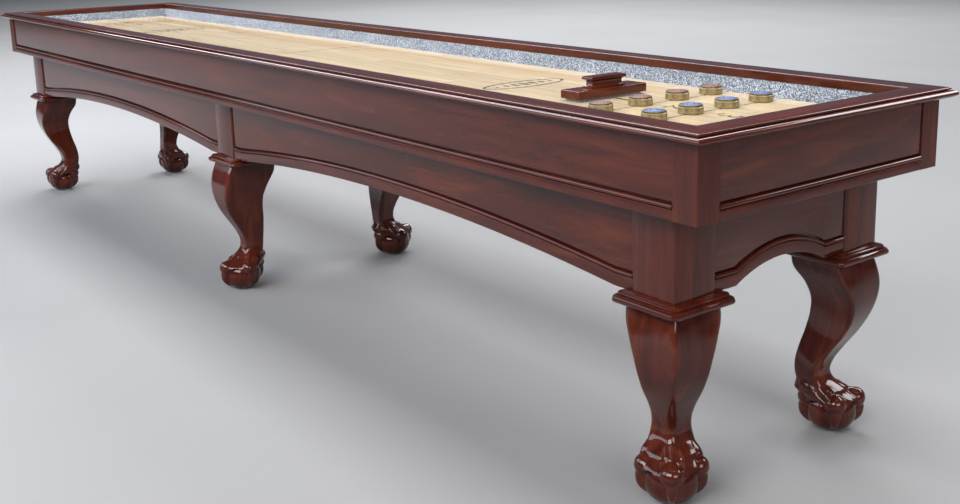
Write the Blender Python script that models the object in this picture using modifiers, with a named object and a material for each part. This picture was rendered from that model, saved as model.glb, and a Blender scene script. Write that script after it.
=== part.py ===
"""Shuffleboard table: a two-part cabinet on six cabriole legs, with its playfield, pucks and sweep brush.

Metres. +X runs along the table to its near end, +Y across it to its back, +Z up. The origin is on the floor
under the middle of the table. Front is the -Y side, back +Y, near the +X end, far the -X end.
"""

import math

import bmesh
import bpy
from mathutils import Matrix, Vector

GAP = 0.0003  # clearance that touching pieces keep

# Cabinet, measured over its outer faces
CABINET_LENGTH = 3.994
CABINET_WIDTH = 0.730
CABINET_BOTTOM = 0.606
RAIL_TOP = 0.772
RAIL_THICKNESS = 0.020
RAIL_OVERHANG = 0.027
RAIL_FLAT = 0.016  # how far the rail's flat top runs out past the cabinet's face
WALL_THICKNESS = 0.044
LINING_THICKNESS = 0.004
STILE_WIDTH = 0.058
FLOOR_THICKNESS = 0.012
FLOOR_LIFT = 0.003  # from the cabinet's lower edge up to its floor panels

# Playfield and what carries it
PLAYFIELD_LENGTH = 3.658
PLAYFIELD_WIDTH = 0.508
PLAYFIELD_THICKNESS = 0.076
PLAYFIELD_DROP = 0.045  # below the rail's top
BEARER_PLACES = (-1.50, -0.55, 0.55, 1.50)
BEARER_WIDTH = 0.060
BEARER_LENGTH = 0.500
ADJUSTER_PLACES = {"far": -0.95, "near": 0.95}
ADJUSTER_LENGTH = 0.440
ADJUSTER_WIDTH = 0.038
ADJUSTER_THICKNESS = 0.006
ADJUSTER_PAD = 0.008
ACCESS_HOLE_RADIUS = 0.025

# Lower frame
END_SETBACK = 0.100  # from the cabinet's end face in to the legs' posts
SIDE_SETBACK = 0.053
POST_WIDTH = 0.112
APRON_SETBACK = 0.0025
APRON_THICKNESS = 0.020
SIDE_ARCH_RISE = 0.045
SIDE_ARCH_FLAT = 0.050
END_ARCH_RISE = 0.035
END_ARCH_FLAT = 0.062
MIDDLE_JOINT = 0.0025  # the open joint beside each middle post

# Legs
COLLAR_TOP = 0.4275
COLLAR_STEP = 0.4190
COLLAR_BOTTOM = 0.4040
COLLAR_UPPER_WIDTH = 0.158
COLLAR_LOWER_WIDTH = 0.174
COLLAR_INSET = 0.007  # how far the collar's middle lies in from the post's, behind the aprons
FOOT_BOTTOM = 0.006
GLIDE_RADIUS = 0.019
GLIDE_STEM_RADIUS = 0.004
GLIDE_STEM_TOP = 0.030

# Pucks and brush
PUCK_RADIUS = 0.027
PUCK_HEIGHT = 0.019
PUCK_CAP_HEIGHT = 0.003
PUCK_ROWS = {"red": 1.520, "blue": 1.672}
PUCK_PLACES = {"red": (-0.145, -0.027, 0.088, 0.199), "blue": (-0.1395, -0.032, 0.080, 0.192)}
BRUSH_CENTRE = (1.380, -0.004)
BRUSH_LENGTH = 0.210
BRUSH_WIDTH = 0.062
BRISTLE_HEIGHT = 0.005
BRUSH_BLOCK_HEIGHT = 0.019

PLAYFIELD_TOP = RAIL_TOP - PLAYFIELD_DROP
PLAYFIELD_BOTTOM = PLAYFIELD_TOP - PLAYFIELD_THICKNESS
WALL_TOP = RAIL_TOP - RAIL_THICKNESS
FLOOR_BOTTOM = CABINET_BOTTOM + FLOOR_LIFT
FLOOR_TOP = FLOOR_BOTTOM + FLOOR_THICKNESS
HALF_LENGTH = CABINET_LENGTH / 2
HALF_WIDTH = CABINET_WIDTH / 2
POST_X = HALF_LENGTH - END_SETBACK - POST_WIDTH / 2
POST_Y = HALF_WIDTH - SIDE_SETBACK - POST_WIDTH / 2

# Each wall's turn about +Z, which carries a local frame with +Y outward onto that side of the table
WALL_TURNS = {"back": 0.0, "front": math.pi, "near": -math.pi / 2, "far": math.pi / 2}

# A leg's stations: height, then how far the section reaches outward and inward of the post's axis.
# A corner leg stands with an arris outward: then come its side arrises' place outward, and half width.
CORNER_LEG = (
    (0.4035, 0.0780, -0.1020, -0.0120, 0.0925),
    (0.3750, 0.0885, -0.0960, -0.0060, 0.0940),
    (0.3400, 0.0950, -0.0700, 0.0120, 0.0870),
    (0.3050, 0.0905, -0.0555, 0.0240, 0.0785),
    (0.2700, 0.0775, -0.0560, 0.0220, 0.0705),
    (0.2300, 0.0540, -0.0655, 0.0060, 0.0600),
    (0.1900, 0.0240, -0.0800, -0.0200, 0.0490),
    (0.1600, 0.0050, -0.0870, -0.0380, 0.0440),
    (0.1360, -0.0010, -0.0870, -0.0435, 0.0445),
    (0.1170, 0.0084, -0.0830, -0.0373, 0.0500),
    (0.0990, 0.0308, -0.0780, -0.0236, 0.0570),
)
# A middle leg stands with a face outward: then come that face's half width, and the inner face's.
MIDDLE_LEG = (
    (0.4035, 0.0660, -0.0780, 0.0640, 0.0655),
    (0.3750, 0.0790, -0.0750, 0.0620, 0.0645),
    (0.3350, 0.0890, -0.0520, 0.0555, 0.0620),
    (0.3000, 0.0885, -0.0360, 0.0465, 0.0590),
    (0.2600, 0.0770, -0.0330, 0.0370, 0.0540),
    (0.2200, 0.0550, -0.0370, 0.0320, 0.0465),
    (0.1800, 0.0310, -0.0400, 0.0280, 0.0370),
    (0.1500, 0.0200, -0.0400, 0.0270, 0.0310),
    (0.1250, 0.0220, -0.0370, 0.0300, 0.0320),
    (0.1050, 0.0330, -0.0300, 0.0400, 0.0400),
)
# The ball of the foot: height, then radius
FOOT = ((0.082, 0.066), (0.062, 0.070), (0.040, 0.070), (0.022, 0.061), (FOOT_BOTTOM, 0.038))
CORNER_FOOT_SHIFT = 0.0
MIDDLE_FOOT_SHIFT = 0.028
RINGS_PER_STATION = 2
TWELVE_GON_CUT = 0.2113  # share of a square's side that turns it into a regular twelve-sided ring
TWELVE_GON_CORNER = 1.2247  # that square's half diagonal over the ring's radius


# ---------------------------------------------------------------- scene and materials


def clear_scene():
    for obj in list(bpy.data.objects):
        bpy.data.objects.remove(obj, do_unlink=True)


def new_collection(name):
    collection = bpy.data.collections.new(name)
    bpy.context.scene.collection.children.link(collection)
    return collection


def material(name, colour, roughness, metallic=0.0):
    made = bpy.data.materials.new(name)
    made.use_nodes = True
    shader = made.node_tree.nodes["Principled BSDF"]
    shader.inputs["Base Color"].default_value = (*colour, 1.0)
    shader.inputs["Roughness"].default_value = roughness
    shader.inputs["Metallic"].default_value = metallic
    return made


clear_scene()
PARTS = new_collection("shuffleboard_table")
CUTTERS = new_collection("cutters")
MAHOGANY = material("mahogany", (0.075, 0.022, 0.016), 0.28)
MAPLE = material("maple", (0.72, 0.55, 0.33), 0.12)
CARPET = material("carpet", (0.20, 0.28, 0.38), 0.95)
PLYWOOD = material("plywood", (0.52, 0.38, 0.22), 0.60)
STEEL = material("zinc_steel", (0.55, 0.56, 0.58), 0.35, 1.0)
PUCK_METAL = material("puck_metal", (0.42, 0.33, 0.17), 0.35, 0.9)
NYLON = material("nylon", (0.80, 0.79, 0.74), 0.50)
BRISTLE = material("bristle", (0.62, 0.64, 0.68), 0.90)

# ---------------------------------------------------------------- building helpers


def finish_object(name, bm, surface, parent=None, smooth_angle=None):
    """Turns the bmesh into a named object in the table's collection."""
    bmesh.ops.recalc_face_normals(bm, faces=bm.faces)
    mesh = bpy.data.meshes.new(name)
    bm.to_mesh(mesh)
    bm.free()
    if smooth_angle is not None:
        mesh.shade_smooth()
        mesh.set_sharp_from_angle(angle=math.radians(smooth_angle))
    mesh.materials.append(surface)
    obj = bpy.data.objects.new(name, mesh)
    PARTS.objects.link(obj)
    obj.parent = parent
    return obj


def new_empty(name, place):
    """A moving piece's parent, on its joint's axis."""
    obj = bpy.data.objects.new(name, None)
    obj.empty_display_size = 0.03
    obj.location = place
    PARTS.objects.link(obj)
    return obj


def box(low, high):
    bm = bmesh.new()
    bmesh.ops.create_cube(bm, size=1.0)
    size = [b - a for a, b in zip(low, high)]
    middle = [(a + b) / 2 for a, b in zip(low, high)]
    bmesh.ops.scale(bm, vec=size, verts=bm.verts)
    bmesh.ops.translate(bm, vec=middle, verts=bm.verts)
    return bm


def disc(radius, low, high, sides):
    bm = bmesh.new()
    bmesh.ops.create_cone(
        bm, cap_ends=True, segments=sides, radius1=radius, radius2=radius, depth=high - low
    )
    bmesh.ops.translate(bm, vec=(0, 0, (low + high) / 2), verts=bm.verts)
    return bm


def bevel(obj, width, segments=2):
    modifier = obj.modifiers.new("rounded_edges", "BEVEL")
    modifier.width = width
    modifier.segments = segments
    modifier.limit_method = "ANGLE"
    modifier.angle_limit = math.radians(40)
    return modifier


def cutter(name, bm, place=(0, 0, 0)):
    bmesh.ops.recalc_face_normals(bm, faces=bm.faces)
    mesh = bpy.data.meshes.new(name)
    bm.to_mesh(mesh)
    bm.free()
    obj = bpy.data.objects.new(name, mesh)
    obj.location = place
    obj.hide_render = True
    obj.display_type = "WIRE"
    CUTTERS.objects.link(obj)
    return obj


def combine(obj, other, operation="DIFFERENCE"):
    modifier = obj.modifiers.new(other.name, "BOOLEAN")
    modifier.object = other
    modifier.operation = operation
    return modifier


def moulded_bar(profile, start, end, mitre=(False, False)):
    """The (outward, height) profile extruded along local X. A mitred end follows the wall's corner."""
    bm = bmesh.new()
    face = bm.faces.new([bm.verts.new((start, out, height)) for out, height in profile])
    extruded = bmesh.ops.extrude_face_region(bm, geom=[face])
    moved = [item for item in extruded["geom"] if isinstance(item, bmesh.types.BMVert)]
    bmesh.ops.translate(bm, vec=(end - start, 0, 0), verts=moved)
    direction = 1.0 if end > start else -1.0
    for vert in bm.verts:
        at_end = abs(vert.co.x - end) < abs(vert.co.x - start)
        if mitre[at_end]:
            vert.co.x += vert.co.y * (direction if at_end else -direction)
    return bm


def loft(rings):
    """Rings of equal length, joined in order and closed at both ends."""
    bm = bmesh.new()
    loops = [[bm.verts.new(point) for point in ring] for ring in rings]
    count = len(loops[0])
    for lower, upper in zip(loops, loops[1:]):
        for i in range(count):
            j = (i + 1) % count
            bm.faces.new((lower[i], lower[j], upper[j], upper[i]))
    bm.faces.new(loops[0])
    bm.faces.new(loops[-1])
    return bm


def on_wall(obj, wall, setback=0.0):
    """Puts a piece that was built along local X, outward to +Y, onto one of the table's four walls."""
    turn = WALL_TURNS[wall]
    reach = (HALF_WIDTH if wall in ("front", "back") else HALF_LENGTH) - setback
    obj.rotation_euler.z = turn
    obj.location = Matrix.Rotation(turn, 3, "Z") @ Vector((0, reach, 0))
    return obj


def turned(name, profile, steps, surface, parent):
    """A turned piece: the profile runs from the axis's top, down the outer side, to the axis's foot."""
    mesh = bpy.data.meshes.new(name)
    points = [(radius, 0, height) for radius, height in profile]
    mesh.from_pydata(points, [(i, i + 1) for i in range(len(points) - 1)], [])
    mesh.materials.append(surface)
    obj = bpy.data.objects.new(name, mesh)
    PARTS.objects.link(obj)
    obj.parent = parent
    screw = obj.modifiers.new("turning", "SCREW")
    screw.axis = "Z"
    screw.steps = steps
    screw.render_steps = steps
    screw.use_merge_vertices = True
    screw.merge_threshold = 0.0001
    screw.use_smooth_shade = True
    return obj


# ---------------------------------------------------------------- cabinet


def rail_profile():
    """Flat top, an eased edge, a narrow quirk, then a bullnose under it."""
    top = RAIL_TOP
    inner = -(WALL_THICKNESS + LINING_THICKNESS)
    nose = [
        (
            RAIL_FLAT + (RAIL_OVERHANG - RAIL_FLAT) * math.sin(angle),
            top - 0.0125 + 0.0065 * math.cos(angle),
        )
        for angle in [math.radians(a) for a in (0, 30, 60, 90, 120, 150)]
    ]
    return [
        (inner, top - RAIL_THICKNESS),
        (inner, top - 0.0015),
        (inner + 0.0015, top),
        (RAIL_FLAT - 0.002, top),
        (RAIL_FLAT - 0.0006, top - 0.0006),
        (RAIL_FLAT, top - 0.002),
        (RAIL_FLAT, top - 0.004),
        (RAIL_FLAT - 0.002, top - 0.0045),
        *nose,
        (RAIL_FLAT + 0.003, top - RAIL_THICKNESS),
    ]


def board_profile():
    """Bottom rail, half-round bead, groove and a slightly sunk panel."""
    low = CABINET_BOTTOM
    bead = [
        (0.0045 * math.sin(angle) - 0.002, low + 0.0255 - 0.0045 * math.cos(angle))
        for angle in [math.radians(a) for a in (0, 45, 90, 135, 180)]
    ]
    return [
        (-WALL_THICKNESS, low),
        (-0.0015, low),
        (0.0, low + 0.0015),
        (0.0, low + 0.0195),
        *bead,
        (-0.007, low + 0.0310),
        (-0.007, low + 0.0350),
        (-0.0025, low + 0.0395),
        (-0.0025, WALL_TOP - GAP),
        (-WALL_THICKNESS, WALL_TOP - GAP),
    ]


def build_rails():
    for wall in ("front", "back"):
        for direction in (1, -1):
            at_near = (direction > 0) == (wall == "back")
            bm = moulded_bar(
                rail_profile(),
                direction * GAP / 2,
                direction * (HALF_LENGTH - GAP / 2),
                (False, True),
            )
            name = f"top_rail_{wall}_{'near' if at_near else 'far'}"
            on_wall(finish_object(name, bm, MAHOGANY, smooth_angle=35), wall)
    for wall in ("near", "far"):
        reach = HALF_WIDTH - GAP / 2
        bm = moulded_bar(rail_profile(), -reach, reach, (True, True))
        on_wall(finish_object(f"top_rail_end_{wall}", bm, MAHOGANY, smooth_angle=35), wall)


def build_walls():
    for wall in ("front", "back"):
        for direction in (1, -1):
            at_near = (direction > 0) == (wall == "back")
            end = HALF_LENGTH - STILE_WIDTH - GAP
            bm = moulded_bar(board_profile(), direction * GAP / 2, direction * end)
            name = f"side_board_{wall}_{'near' if at_near else 'far'}"
            on_wall(finish_object(name, bm, MAHOGANY, smooth_angle=35), wall)
    for wall in ("near", "far"):
        end = HALF_WIDTH - STILE_WIDTH - GAP
        bm = moulded_bar(board_profile(), -end, end)
        on_wall(finish_object(f"end_board_{wall}", bm, MAHOGANY, smooth_angle=35), wall)


def build_corner_posts():
    """L-shaped posts, whose outer faces are the stiles that the panels stop at."""
    near_face, wall_face = STILE_WIDTH, WALL_THICKNESS
    outline = [
        (-0.0015, 0),
        (-near_face, 0),
        (-near_face, -wall_face),
        (-wall_face, -wall_face),
        (-wall_face, -near_face),
        (0, -near_face),
        (0, -0.0015),
    ]
    for end, x_sign in (("near", 1), ("far", -1)):
        for side, y_sign in (("front", -1), ("back", 1)):
            rings = [
                [
                    (x_sign * (HALF_LENGTH + x), y_sign * (HALF_WIDTH + y), height)
                    for x, y in outline
                ]
                for height in (CABINET_BOTTOM, WALL_TOP - GAP)
            ]
            finish_object(f"corner_post_{side}_{end}", loft(rings), MAHOGANY)


def build_floors():
    """The floor panels between the walls, each with a hole that a spanner reaches the adjuster through."""
    for end, x_sign in (("near", 1), ("far", -1)):
        inner = HALF_LENGTH - WALL_THICKNESS - GAP
        side = HALF_WIDTH - WALL_THICKNESS - GAP
        xs = sorted((x_sign * GAP / 2, x_sign * inner))
        floor = finish_object(
            f"cabinet_floor_{end}",
            box((xs[0], -side, FLOOR_BOTTOM), (xs[1], side, FLOOR_TOP)),
            PLYWOOD,
        )
        hole = disc(ACCESS_HOLE_RADIUS, FLOOR_BOTTOM - 0.01, FLOOR_TOP + 0.01, 32)
        combine(floor, cutter(f"access_hole_{end}", hole, (ADJUSTER_PLACES[end], 0, 0)))


def build_gutter_linings():
    """Carpet over the gutter's floor and up the walls, one length round each half of the cabinet."""
    bottom = FLOOR_TOP + GAP
    wall = WALL_THICKNESS + GAP
    face = WALL_THICKNESS + LINING_THICKNESS
    edge = PLAYFIELD_WIDTH / 2 + 0.004
    for end, x_sign in (("near", 1), ("far", -1)):
        xs = sorted((x_sign * GAP / 2, x_sign * (HALF_LENGTH - wall)))
        side = HALF_WIDTH - wall
        lining = finish_object(
            f"gutter_lining_{end}",
            box((xs[0], -side, bottom), (xs[1], side, WALL_TOP - GAP)),
            CARPET,
        )
        xs = sorted((-x_sign * 0.01, x_sign * (HALF_LENGTH - face)))
        side = HALF_WIDTH - face
        well = box((xs[0], -side, bottom + LINING_THICKNESS), (xs[1], side, WALL_TOP + 0.01))
        combine(lining, cutter(f"gutter_well_{end}", well))
        xs = sorted((-x_sign * 0.01, x_sign * (PLAYFIELD_LENGTH / 2 + 0.004)))
        middle = box((xs[0], -edge, bottom - 0.01), (xs[1], edge, bottom + 0.05))
        combine(lining, cutter(f"cradle_opening_{end}", middle))


def build_joining_plate():
    """The steel plate under the floor that holds the two halves of the cabinet together."""
    top = FLOOR_BOTTOM - GAP
    plate = finish_object("joining_plate", box((-0.15, -0.18, top - 0.005), (0.15, 0.18, top)), STEEL)
    bevel(plate, 0.001, 1)


# ---------------------------------------------------------------- playfield


def build_playfield():
    half = (PLAYFIELD_LENGTH / 2, PLAYFIELD_WIDTH / 2)
    board = finish_object(
        "playfield",
        box((-half[0], -half[1], PLAYFIELD_BOTTOM), (half[0], half[1], PLAYFIELD_TOP)),
        MAPLE,
    )
    bevel(board, 0.002, 2)


def build_bearers():
    for number, place in enumerate(BEARER_PLACES, 1):
        low = (place - BEARER_WIDTH / 2, -BEARER_LENGTH / 2, FLOOR_TOP + GAP)
        high = (place + BEARER_WIDTH / 2, BEARER_LENGTH / 2, PLAYFIELD_BOTTOM - GAP)
        bearer = finish_object(f"playfield_bearer_{number}", box(low, high), PLYWOOD)
        bevel(bearer, 0.0015, 1)


def build_adjusters():
    """A steel bar across the playfield's underside, and the bolt in it that bows the board up or down."""
    top = PLAYFIELD_BOTTOM - GAP
    bar_top = top - ADJUSTER_PAD
    bar_bottom = bar_top - ADJUSTER_THICKNESS
    reach, pad = ADJUSTER_LENGTH / 2, 0.040
    profile = [
        (-reach, bar_bottom),
        (reach, bar_bottom),
        (reach, top),
        (reach - pad, top),
        (reach - pad, bar_top),
        (-reach + pad, bar_top),
        (-reach + pad, top),
        (-reach, top),
    ]
    for end, place in ADJUSTER_PLACES.items():
        bm = moulded_bar(profile, place - ADJUSTER_WIDTH / 2, place + ADJUSTER_WIDTH / 2)
        bar = finish_object(f"adjuster_bar_{end}", bm, STEEL)
        hole = disc(0.0055, bar_bottom - 0.01, bar_top + 0.01, 16)
        combine(bar, cutter(f"bolt_hole_{end}", hole, (place, 0, 0)))
        axis = new_empty(f"adjuster_axis_{end}", (place, 0, 0))
        head_top = bar_bottom - GAP
        bolt = finish_object(
            f"adjuster_bolt_{end}", disc(0.0085, head_top - 0.007, head_top, 6), STEEL, axis
        )
        shank = cutter(f"bolt_shank_{end}", disc(0.005, head_top - 0.003, top - GAP, 16), (place, 0, 0))
        combine(bolt, shank, "UNION")


# ---------------------------------------------------------------- lower frame


def apron_profile(rise, top):
    """The arched apron's section where its lower edge has risen by rise: flat, bead, groove, sunk panel."""
    low = COLLAR_TOP + GAP + rise
    bead = [
        (0.0040 * math.sin(angle) - 0.0015, low + 0.0305 - 0.0040 * math.cos(angle))
        for angle in [math.radians(a) for a in (0, 60, 120, 180)]
    ]
    return [
        (-APRON_THICKNESS, low),
        (-0.001, low),
        (0.0, low + 0.001),
        (0.0, low + 0.0250),
        *bead,
        (-0.0055, low + 0.0360),
        (-0.0055, low + 0.0395),
        (-0.0020, low + 0.0430),
        (-0.0020, top),
        (-APRON_THICKNESS, top),
    ]


def arch(run, half_span, rise):
    """Height of the arch over its springing line: a circle's arc, with none beyond half_span."""
    radius = (half_span**2 + rise**2) / (2 * rise)
    if abs(run) >= half_span:
        return 0.0
    return math.sqrt(radius**2 - run**2) - (radius - rise)


def arched_apron(start, end, flat, rise, steps):
    low, high = sorted((start, end))
    middle, half_span = (low + high) / 2, (high - low) / 2 - flat
    runs = [low] + [middle + half_span * (2 * i / steps - 1) for i in range(steps + 1)] + [high]
    top = CABINET_BOTTOM - GAP
    return loft(
        [
            [(run, out, height) for out, height in apron_profile(arch(run - middle, half_span, rise), top)]
            for run in runs
        ]
    )


def build_aprons():
    for wall in ("front", "back"):
        for direction in (1, -1):
            at_near = (direction > 0) == (wall == "back")
            start = direction * (POST_WIDTH / 2 + (MIDDLE_JOINT if at_near else GAP))
            end = direction * (POST_X - POST_WIDTH / 2 - GAP)
            bm = arched_apron(start, end, SIDE_ARCH_FLAT, SIDE_ARCH_RISE, 16)
            name = f"side_apron_{wall}_{'near' if at_near else 'far'}"
            apron = finish_object(name, bm, MAHOGANY, smooth_angle=35)
            on_wall(apron, wall, SIDE_SETBACK + APRON_SETBACK)
    for wall in ("near", "far"):
        end = POST_Y - POST_WIDTH / 2 - GAP
        bm = arched_apron(-end, end, END_ARCH_FLAT, END_ARCH_RISE, 12)
        apron = finish_object(f"end_apron_{wall}", bm, MAHOGANY, smooth_angle=35)
        on_wall(apron, wall, END_SETBACK + APRON_SETBACK)


# ---------------------------------------------------------------- legs


def rounded_ring(corners, cut, height):
    """Twelve points round four corners, each corner eased over the given share of its sides."""
    ring = []
    for i, corner in enumerate(corners):
        before = (Vector(corners[i - 1]) - Vector(corner)) * cut
        after = (Vector(corners[(i + 1) % 4]) - Vector(corner)) * cut
        eased = Vector(corner) + (before + after) * 0.434
        for point in (Vector(corner) + before, eased, Vector(corner) + after):
            ring.append((point.x, point.y, height))
    return ring


def smooth_between(stations, parts):
    """The stations with more put between them, on a Catmull-Rom curve."""
    rows = []
    for i in range(len(stations) - 1):
        a, b = stations[max(i - 1, 0)], stations[i]
        c, d = stations[i + 1], stations[min(i + 2, len(stations) - 1)]
        for step in range(parts):
            t = step / parts
            row = []
            for p, q, r, s in zip(a, b, c, d):
                squared = 2 * p - 5 * q + 4 * r - s
                cubed = 3 * q - p - 3 * r + s
                row.append(0.5 * (2 * q + (r - p) * t + squared * t**2 + cubed * t**3))
            rows.append(tuple(row))
    return rows + [stations[-1]]


def square_corners(half, outward_arris):
    """A square's corners about the post's axis, in the leg's own frame with +X outward."""
    if outward_arris:
        reach = half * math.sqrt(2)
        return [(reach, 0), (0, reach), (-reach, 0), (0, -reach)]
    return [(half, -half), (half, half), (-half, half), (-half, -half)]


def leg_rings(outward_arris):
    """From the foot up: the ball of the foot, the S-curve, the collar's two steps and the square post."""
    rings = []
    shift = CORNER_FOOT_SHIFT if outward_arris else MIDDLE_FOOT_SHIFT
    for height, radius in reversed(FOOT):
        half = radius * TWELVE_GON_CORNER / math.sqrt(2)
        corners = [(x + shift, y) for x, y in square_corners(half, outward_arris)]
        rings.append(rounded_ring(corners, TWELVE_GON_CUT, height))
    for row in reversed(smooth_between(CORNER_LEG if outward_arris else MIDDLE_LEG, RINGS_PER_STATION)):
        if outward_arris:
            height, outward, inward, place, half = row
            corners = [(outward, 0), (place, half), (inward, 0), (place, -half)]
        else:
            height, outward, inward, outer_half, inner_half = row
            corners = [
                (outward, -outer_half),
                (outward, outer_half),
                (inward, inner_half),
                (inward, -inner_half),
            ]
        rings.append(rounded_ring(corners, 0.10, height))
    lower, upper, post = COLLAR_LOWER_WIDTH / 2, COLLAR_UPPER_WIDTH / 2, POST_WIDTH / 2
    inset = COLLAR_INSET * (math.sqrt(2) if outward_arris else 1.0)
    for half, height, inward, cut in (
        (lower - 0.005, COLLAR_BOTTOM, inset, 0.045),
        (lower, COLLAR_BOTTOM + 0.005, inset, 0.045),
        (lower, COLLAR_STEP - 0.005, inset, 0.045),
        (lower - 0.005, COLLAR_STEP, inset, 0.045),
        (upper, COLLAR_STEP + 0.001, inset, 0.045),
        (upper, COLLAR_TOP - 0.004, inset, 0.045),
        (upper - 0.006, COLLAR_TOP, inset, 0.045),
        (post, COLLAR_TOP, 0.0, 0.03),
        (post, CABINET_BOTTOM - GAP, 0.0, 0.03),
    ):
        corners = [(x - inward, y) for x, y in square_corners(half, outward_arris)]
        rings.append(rounded_ring(corners, cut, height))
    return rings


def build_legs():
    places = {
        "front_near": (POST_X, -POST_Y, -45, True),
        "back_near": (POST_X, POST_Y, 45, True),
        "front_far": (-POST_X, -POST_Y, -135, True),
        "back_far": (-POST_X, POST_Y, 135, True),
        "front_middle": (0.0, -POST_Y, -90, False),
        "back_middle": (0.0, POST_Y, 90, False),
    }
    for name, (x, y, turn, outward_arris) in places.items():
        leg = finish_object(f"leg_{name}", loft(leg_rings(outward_arris)), MAHOGANY, smooth_angle=50)
        leg.location = (x, y, 0)
        leg.rotation_euler.z = math.radians(turn)
        shift = CORNER_FOOT_SHIFT if outward_arris else MIDDLE_FOOT_SHIFT
        offset = Matrix.Rotation(math.radians(turn), 3, "Z") @ Vector((shift, 0, 0))
        foot = (x + offset.x, y + offset.y, 0)
        bore = disc(GLIDE_STEM_RADIUS + 0.0005, -0.01, GLIDE_STEM_TOP + 0.002, 16)
        combine(leg, cutter(f"glide_bore_{name}", bore, foot))
        build_glide(name, foot)


def build_glide(name, foot):
    """A levelling glide: a nylon-faced disc on a threaded stem in the foot."""
    top = FOOT_BOTTOM - GAP
    profile = [
        (0.0, GLIDE_STEM_TOP),
        (GLIDE_STEM_RADIUS, GLIDE_STEM_TOP),
        (GLIDE_STEM_RADIUS, top),
        (GLIDE_RADIUS - 0.002, top),
        (GLIDE_RADIUS, top - 0.0015),
        (GLIDE_RADIUS, 0.0008),
        (GLIDE_RADIUS - 0.001, 0.0),
        (0.0, 0.0),
    ]
    turned(f"levelling_glide_{name}", profile, 20, NYLON, new_empty(f"glide_axis_{name}", foot))


# ---------------------------------------------------------------- pucks and brush


def build_pucks():
    body = PUCK_HEIGHT - PUCK_CAP_HEIGHT
    profile = [
        (0.0, PUCK_HEIGHT),
        (PUCK_RADIUS - 0.0050, PUCK_HEIGHT),
        (PUCK_RADIUS - 0.0032, PUCK_HEIGHT - 0.0015),
        (PUCK_RADIUS - 0.0030, body),
        (PUCK_RADIUS, body - 0.0015),
        (PUCK_RADIUS, 0.0015),
        (PUCK_RADIUS - 0.0012, 0.0),
        (0.0, 0.0),
    ]
    for colour, row in PUCK_ROWS.items():
        for number, across in enumerate(PUCK_PLACES[colour], 1):
            axis = new_empty(f"puck_place_{colour}_{number}", (row, across, PLAYFIELD_TOP + GAP))
            turned(f"puck_{colour}_{number}", profile, 24, PUCK_METAL, axis)


def build_brush():
    axis = new_empty("brush_place", (*BRUSH_CENTRE, PLAYFIELD_TOP + GAP))
    half_x, half_y = BRUSH_WIDTH / 2, BRUSH_LENGTH / 2
    inset = 0.006
    bristles = box((inset - half_x, inset - half_y, 0), (half_x - inset, half_y - inset, BRISTLE_HEIGHT))
    finish_object("brush_bristles", bristles, BRISTLE, axis)
    low = BRISTLE_HEIGHT + GAP
    high = low + BRUSH_BLOCK_HEIGHT
    block = finish_object(
        "brush_block", box((-half_x, -half_y, low), (half_x, half_y, high)), MAHOGANY, axis
    )
    bevel(block, 0.0015, 2)
    rings = [
        [(x, y, high + GAP + height) for x, y in ((a, -b), (a, b), (-a, b), (-a, -b))]
        for a, b, height in (
            (0.0155, 0.0505, 0.0),
            (0.0155, 0.0505, 0.003),
            (0.0115, 0.0465, 0.006),
            (0.0105, 0.0450, 0.012),
            (0.0130, 0.0480, 0.017),
            (0.0175, 0.0535, 0.019),
            (0.0180, 0.0540, 0.024),
            (0.0165, 0.0525, 0.026),
        )
    ]
    handle = finish_object("brush_handle", loft(rings), MAHOGANY, axis)
    bevel(handle, 0.0006, 1)


build_rails()
build_walls()
build_corner_posts()
build_floors()
build_gutter_linings()
build_joining_plate()
build_playfield()
build_bearers()
build_adjusters()
build_aprons()
build_legs()
build_pucks()
build_brush()
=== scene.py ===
import math
import random

import bmesh
import bpy
import numpy as np
from mathutils import Matrix, Vector


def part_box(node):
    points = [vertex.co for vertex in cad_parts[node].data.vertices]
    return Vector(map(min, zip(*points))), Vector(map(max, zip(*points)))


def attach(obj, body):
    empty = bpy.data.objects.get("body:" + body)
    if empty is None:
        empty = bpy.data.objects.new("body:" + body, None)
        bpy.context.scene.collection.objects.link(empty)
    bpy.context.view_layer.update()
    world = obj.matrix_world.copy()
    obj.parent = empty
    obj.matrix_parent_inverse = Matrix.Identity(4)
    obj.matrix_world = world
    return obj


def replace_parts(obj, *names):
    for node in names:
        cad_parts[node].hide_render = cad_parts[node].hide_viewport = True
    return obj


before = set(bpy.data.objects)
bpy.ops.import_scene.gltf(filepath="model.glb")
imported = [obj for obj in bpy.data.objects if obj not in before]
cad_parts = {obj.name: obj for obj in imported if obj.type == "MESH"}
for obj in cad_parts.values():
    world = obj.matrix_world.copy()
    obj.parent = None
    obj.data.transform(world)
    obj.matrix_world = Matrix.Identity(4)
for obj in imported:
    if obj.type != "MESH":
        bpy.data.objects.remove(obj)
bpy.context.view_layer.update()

TABLE = "table"  # the fixed body of the record
GAP = 0.0003  # clearance between the cabinet's pieces

# The table's main sizes, read from the frame
RAIL_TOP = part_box("top_rail_front_near")[1].z
RAIL_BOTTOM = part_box("top_rail_front_near")[0].z
RAIL_INNER_EDGE = -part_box("top_rail_front_near")[1].y
OUTER_HALF_WIDTH = -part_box("top_rail_front_near")[0].y
HALF_WIDTH = -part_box("corner_post_front_near")[0].y
HALF_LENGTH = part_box("corner_post_front_near")[1].x
STILE_INNER_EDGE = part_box("corner_post_front_near")[0].x
STILE_WIDTH = HALF_LENGTH - STILE_INNER_EDGE
WALL_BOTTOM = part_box("end_board_near")[0].z
WALL_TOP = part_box("end_board_near")[1].z
WALL_THICKNESS = HALF_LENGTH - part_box("end_board_near")[0].x
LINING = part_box("gutter_lining_near")
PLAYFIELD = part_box("playfield")
POST_WIDTH = 0.112
POST_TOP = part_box("leg_front_near")[1].z
CORNER_POST_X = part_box("side_apron_front_near")[1].x + GAP + POST_WIDTH / 2
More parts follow.
